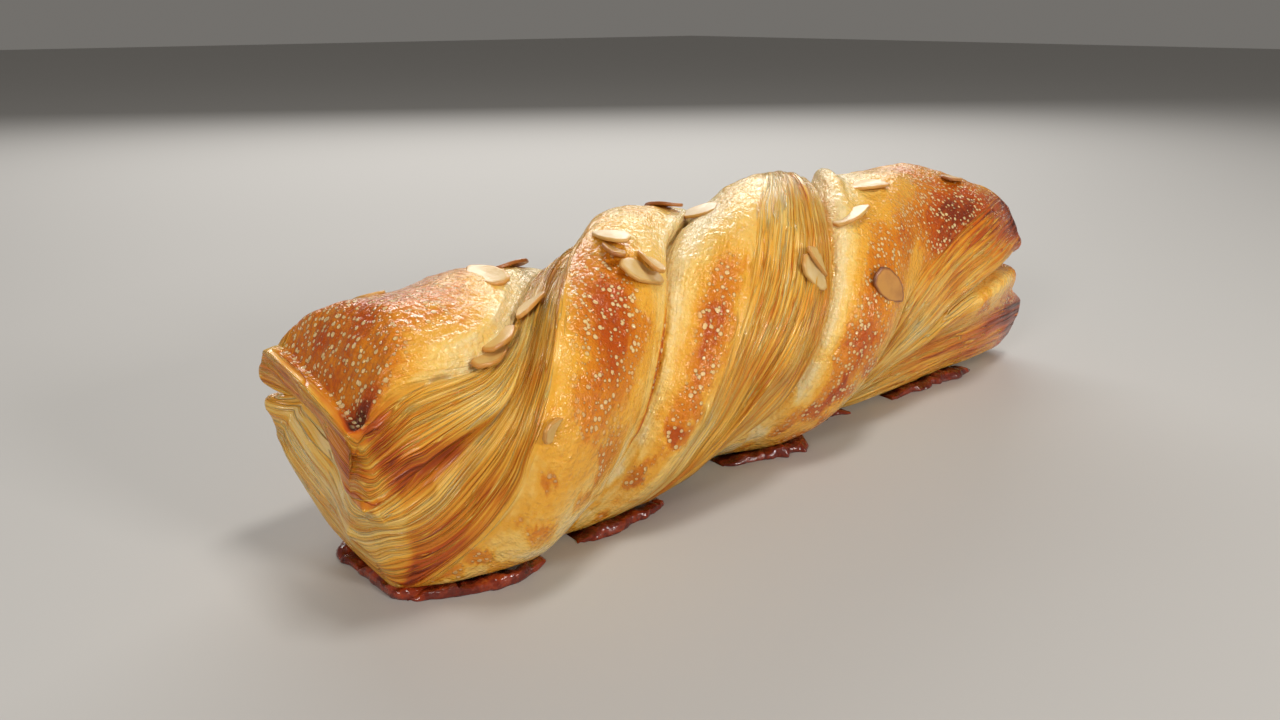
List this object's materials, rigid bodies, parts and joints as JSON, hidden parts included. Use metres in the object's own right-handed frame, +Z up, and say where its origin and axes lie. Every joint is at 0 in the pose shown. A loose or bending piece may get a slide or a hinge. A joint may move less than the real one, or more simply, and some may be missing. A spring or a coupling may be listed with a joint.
{
  "type": "almond puff pastry twist",
  "caption": "Baked puff pastry twist of two glazed sheets turned once about their length, with open layered ends and flaked almonds on top",
  "frame": {"origin": "centre of the bounding box in plan, on the surface the pastry lies on", "axes": "+X along the length of the twist, from the end with the browned end face to the end where the lower sheet is longer; -Y is the side the picture shows; +Z up"},
  "size_m": [0.1936, 0.0562, 0.0587],
  "materials": {
    "crust": "golden brown baked puff pastry with a glossy glaze"
  },
  "bodies": {
    "root": {"pastry_twist": "crust"}
  },
  "joints": []
}
